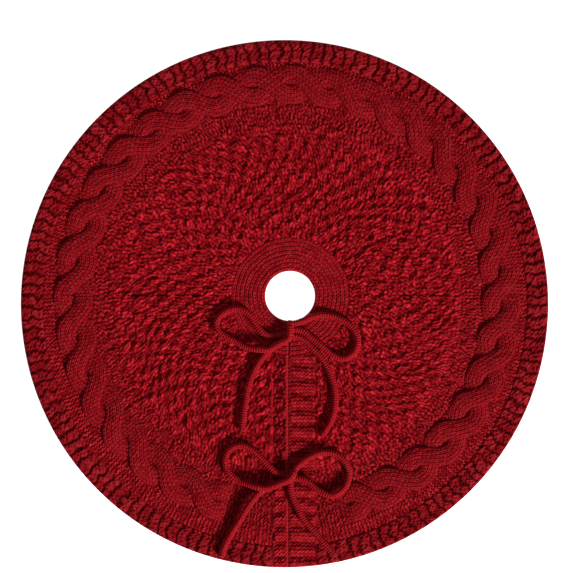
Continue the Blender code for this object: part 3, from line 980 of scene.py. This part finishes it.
# Each run of a cord: its body's side, its route and whether its far end is free. A point of a route is x, y
# and a level: 0 lies on the fabric, as do the points that give no level, and 1 lies on another cord. The
# first and last points of a loop lie under the knot's wrap.
cordRuns = {
    "upper_left_loop": ("left", (
        (0.0100, -0.0735), (-0.0084, -0.0735), (-0.0300, -0.0748), (-0.0500, -0.0665), (-0.0660, -0.0470),
        (-0.0800, -0.0265), (-0.0980, -0.0145), (-0.1190, -0.0120), (-0.1420, -0.0220), (-0.1560, -0.0400),
        (-0.1545, -0.0590), (-0.1380, -0.0745), (-0.1030, -0.0925), (-0.0800, -0.1010, 0.6),
        (-0.0600, -0.1050, 1.1), (-0.0382, -0.1055, 1.1), (-0.0220, -0.0975, 1.1), (-0.0084, -0.0900, 1.1),
        (0.0030, -0.0850, 1.1),
    ), False),
    "upper_left_tail": ("left", (
        (0.0080, -0.0877), (-0.0084, -0.0890), (-0.0220, -0.0965), (-0.0350, -0.1070), (-0.0520, -0.1250),
        (-0.0640, -0.1440), (-0.0752, -0.1670), (-0.0844, -0.1944), (-0.0890, -0.2220), (-0.0936, -0.2500),
        (-0.0965, -0.2760), (-0.0985, -0.2960),
    ), True),
    "upper_right_loop": ("right", (
        (0.0140, -0.0470), (0.0280, -0.0445), (0.0440, -0.0390), (0.0588, -0.0320), (0.0865, -0.0259),
        (0.1165, -0.0305), (0.1442, -0.0443), (0.1626, -0.0628), (0.1696, -0.0859), (0.1640, -0.1070),
        (0.1511, -0.1205), (0.1350, -0.1263), (0.1142, -0.1205), (0.0957, -0.1067), (0.0772, -0.0905),
        (0.0588, -0.0760), (0.0440, -0.0645), (0.0290, -0.0600), (0.0140, -0.0590),
    ), False),
    "upper_right_tail": ("right", (
        (0.0160, -0.0742), (0.0310, -0.0765), (0.0470, -0.0865), (0.0634, -0.1020), (0.0818, -0.1205),
        (0.0980, -0.1436), (0.1095, -0.1713), (0.1165, -0.2036), (0.1165, -0.2337), (0.1095, -0.2637),
        (0.0980, -0.2868), (0.0841, -0.3075),
    ), True),
    "lower_left_loop": ("left", (
        (0.0120, -0.3970), (-0.0020, -0.3950), (-0.0180, -0.3900), (-0.0290, -0.3810), (-0.0520, -0.3583),
        (-0.0752, -0.3376), (-0.1005, -0.3270), (-0.1220, -0.3330), (-0.1345, -0.3500), (-0.1352, -0.3745),
        (-0.1236, -0.3950), (-0.1029, -0.4085), (-0.0850, -0.4150, 0.6), (-0.0660, -0.4210, 1.1),
        (-0.0450, -0.4250, 1.1), (-0.0250, -0.4200, 1.1), (-0.0080, -0.4130, 1.1), (0.0040, -0.4080, 1.1),
    ), False),
    "lower_left_tail": ("left", (
        (0.0100, -0.4104), (-0.0060, -0.4125), (-0.0220, -0.4190), (-0.0400, -0.4245), (-0.0560, -0.4330),
        (-0.0680, -0.4460), (-0.0867, -0.4715), (-0.1029, -0.4990), (-0.1210, -0.5270), (-0.1375, -0.5570),
        (-0.1467, -0.5860),
    ), True),
    "lower_right_loop": ("right", (
        (0.0160, -0.3965), (0.0225, -0.3850), (0.0320, -0.3735), (0.0450, -0.3625), (0.0620, -0.3520),
        (0.0865, -0.3435), (0.1165, -0.3468), (0.1396, -0.3650), (0.1488, -0.3906), (0.1419, -0.4183),
        (0.1234, -0.4368), (0.1049, -0.4414), (0.0772, -0.4299), (0.0541, -0.4110), (0.0330, -0.4030),
        (0.0180, -0.4020),
    ), False),
    "lower_right_tail": ("right", (
        (0.0140, -0.4080), (0.0145, -0.4290), (0.0195, -0.4480), (0.0290, -0.4680), (0.0426, -0.4946),
        (0.0657, -0.5220), (0.0934, -0.5540), (0.1200, -0.5820),
    ), True),
}

# The strand that wraps each bow's middle.
knotWraps = {
    "upper": (
        (-0.0010, -0.0868, 1.12), (0.0070, -0.0822, 1.20), (0.0120, -0.0740, 1.22), (0.0128, -0.0640, 1.20),
        (0.0126, -0.0540, 1.05), (0.0122, -0.0465, 0.70), (0.0120, -0.0425, 0.15), (0.0120, -0.0415, -0.30),
    ),
    "lower": (
        (0.0000, -0.4098, 1.12), (0.0080, -0.4060, 1.22), (0.0150, -0.4000, 1.25), (0.0195, -0.3930, 1.10),
        (0.0215, -0.3870, 0.60), (0.0220, -0.3845, -0.05),
    ),
}


def fabricHeights(x, y):
    # Top of the plain CAD fabric: each band's height, the cable's crown as a half sine, and the facings.
    heights = np.zeros_like(x)
    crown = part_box("rear_cable_band")[1].z
    for i in reversed(range(len(bandNames))):
        inner, outer = circles[i], circles[i + 1]
        beyond = np.hypot(x - outer[0], y - outer[1]) - inner[2]
        inside = beyond <= outer[2] - inner[2]
        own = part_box("rear_" + bandNames[i])[1].z
        band = np.full_like(x, own)
        if bandNames[i] == "cable_band":
            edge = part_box("rear_border")[1].z
            band = edge + (crown - edge) * np.sin(math.pi * np.clip(beyond / (outer[2] - inner[2]), 0, 1))
        if bandNames[i] != "collar":
            onFacing = (x > facingEnds["left"]) & (x < facingEnds["right"]) & (y < creaseY)
            band = np.where(onFacing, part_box("left_facing")[1].z, band)
        heights = np.where(inside, band, heights)
    return heights


def smoothed(values, reach):
    # Running mean over 2 * reach + 1 points, with the ends held.
    padded = np.concatenate([np.full(reach, values[0]), values, np.full(reach, values[-1])])
    return np.convolve(padded, np.ones(2 * reach + 1) / (2 * reach + 1), "valid")


def cordLine(route):
    # A Catmull-Rom curve through the route's points, then points one step apart along it. Its height is the
    # highest fabric close by plus half a cord, plus one cord's depth for each level.
    s = cordSettings
    points = np.array([(*point, 0)[:3] for point in route])
    points = np.concatenate([[2 * points[0] - points[1]], points, [2 * points[-1] - points[-2]]])
    t = np.linspace(0, 1, 24, endpoint=False)[None, :, None]
    before, start, end, after = (points[i:len(points) - 3 + i, None, :] for i in range(4))
    fine = 0.5 * (2 * start + (end - before) * t + (2 * before - 5 * start + 4 * end - after) * t ** 2
                  + (3 * start - before - 3 * end + after) * t ** 3)
    fine = np.concatenate([fine.reshape(-1, 3), points[-2:-1]])
    gone = np.concatenate([[0], np.cumsum(np.hypot(*np.diff(fine[:, :2], axis=0).T))])
    even = np.linspace(0, gone[-1], round(gone[-1] / s["step"]) + 1)
    x, y, level = (np.interp(even, gone, fine[:, i]) for i in range(3))
    reach = s["restReach"] * s["diameter"]
    turns = np.arange(8) * tau / 8
    around = [fabricHeights(x + reach * math.cos(a), y + reach * math.sin(a)) for a in turns]
    fabric = smoothed(np.max([fabricHeights(x, y)] + around, axis=0), 6)
    z = fabric + s["restGap"] + 0.5 * s["diameter"] + smoothed(level, 3) * s["level"]
    return np.stack([x, y, z], -1)


def tubePoints(line, radius, normal):
    # Rings of points round the line, each at its own radius, and then the line's two ends. A ring has as
    # many points as radius has columns, and its first point lies square to the line and to the normal.
    along = np.gradient(line, axis=0)
    along /= np.linalg.norm(along, axis=1)[:, None]
    aside = np.cross(along, normal)
    aside /= np.linalg.norm(aside, axis=1)[:, None]
    upwards = np.cross(aside, along)
    turn = np.arange(radius.shape[1]) / radius.shape[1] * tau
    ring = (radius * np.cos(turn))[..., None] * aside[:, None]
    ring = ring + (radius * np.sin(turn))[..., None] * upwards[:, None]
    return np.concatenate([(line[:, None] + ring).reshape(-1, 3), line[:1], line[-1:]])


def tubeTriangles(points, rings, around):
    # The sides between rings of points, and at each end a fan to one of the last two points, all facing out.
    first = np.arange(around)
    beside = (first + 1) % around
    ringStart = np.arange(rings - 1)[:, None] * around
    sides = [ringStart + first, ringStart + beside, ringStart + beside + around, ringStart + first + around]
    lastStart = (rings - 1) * around
    nearCap = np.stack([np.full(around, len(points) - 2), beside, first], -1)
    farCap = np.stack([np.full(around, len(points) - 1), first + lastStart, beside + lastStart], -1)
    return facingOut(points, np.concatenate([split(np.stack(sides, -1)), nearCap, farCap]))


def tubePiece(name, line, diameter, tipStart, tipEnd):
    # A knitted tube: rings of points round the line, their distance from it the mean radius plus the
    # stitches' relief. A tip closes as a quarter circle, and each end has one point in its middle.
    s = cordSettings
    gone = np.concatenate([[0], np.cumsum(np.linalg.norm(np.diff(line, axis=0), axis=1))])
    turn = np.arange(s["around"]) / s["around"]
    wale = s["wales"] * turn[None, :] + 0 * gone[:, None]
    course = gone[:, None] / s["course"] + 0 * turn[None, :]
    pattern, column, row = knitStitch(wale, course)
    pattern = lerp(pattern, 0.5 + 0.5 * np.cos(tau * (course - 0.2 * np.sin(tau * wale))), s["across"])
    tint = chance(column, row, 14)
    swelling = s["rib"] * np.cos(tau * course)
    radius = s["thickness"] * diameter + s["relief"] * (pattern - 0.5) * (0.8 + 0.3 * tint) + swelling
    for isTip, distance in ((tipStart, gone), (tipEnd, gone[-1] - gone)):
        if isTip:
            radius = radius * np.maximum(rounded(distance, s["tip"]), s["tipShare"])[:, None]
    points = tubePoints(line, radius, (0, 0, 1))
    triangles = tubeTriangles(points, len(line), s["around"])
    # Painted shade between the cord's stitches.
    paintedshade = hollows(pattern, 1.3)
    fields = [np.append(values.ravel(), [0.5, 0.5]) for values in (wale, course, paintedshade, tint)]
    return meshPiece(name, points, triangles, "cord_yarn", fields)


def makeCords():
    diameter = cordSettings["diameter"]
    for name, (side, route, free) in cordRuns.items():
        line = cordLine(route)
        piece = tubePiece(f"{name}_cord", line, diameter, False, free)
        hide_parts(name)
        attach(piece, f"{side}_front_flap")
    for name, route in knotWraps.items():
        line = cordLine(route)
        piece = tubePiece(f"{name}_knot_wrap", line, cordSettings["wrap"] * diameter, True, True)
        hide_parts(f"{name}_bow_knot")
        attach(piece, "right_front_flap")


tackSettings = {"thread": 0.0009, "stitches": 4, "lean": 0.0012, "course": 0.002, "points": 13, "around": 8}


def tackPiece(name, side):
    # Whip stitches in a row: each is an arch of thread across the tack's width, leaning along the row.
    s = tackSettings
    low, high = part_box(name)
    pieces = []
    fan = np.linspace(0, math.pi, s["points"])
    size = 0.5 * s["thread"] * (1 + 0.15 * np.cos(6 * fan))[:, None] * np.ones(s["around"])
    for k in range(s["stitches"]):
        middleY = lerp(low.y, high.y, (k + 0.5) / s["stitches"])
        x = lerp(low.x, high.x, 0.5) - np.cos(fan) * 0.5 * (high.x - low.x - s["thread"])
        y = middleY + np.cos(fan) * s["lean"]
        z = low.z + s["thread"] + np.sin(fan) * (high.z - low.z - 1.5 * s["thread"])
        pieces.append(tubePoints(np.stack([x, y, z], -1), size, (0, 1, 0)))
    one = tubeTriangles(pieces[0], s["points"], s["around"])
    triangles = np.concatenate([one + k * len(pieces[0]) for k in range(s["stitches"])])
    points = np.concatenate(pieces)
    same = np.ones(len(points))
    # A little painted shade all over the thread.
    fields = (0 * same, points[:, 1] / s["course"], 0.1 * same, 0.5 * same)
    piece = meshPiece(f"{name}_stitches", points, triangles, "sewing_yarn", fields)
    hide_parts(name)
    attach(piece, f"{side}_front_flap")


def makeTacks():
    for bow in ("upper", "lower"):
        for side in ("left", "right"):
            tackPiece(f"{bow}_{side}_tack", side)


makeCords()
print("cords laid")
bands = makeBands()
for side in ("rear", "left", "right"):
    backPiece(side)
print("back layer ready")
makeTacks()
print("tacks sewn")
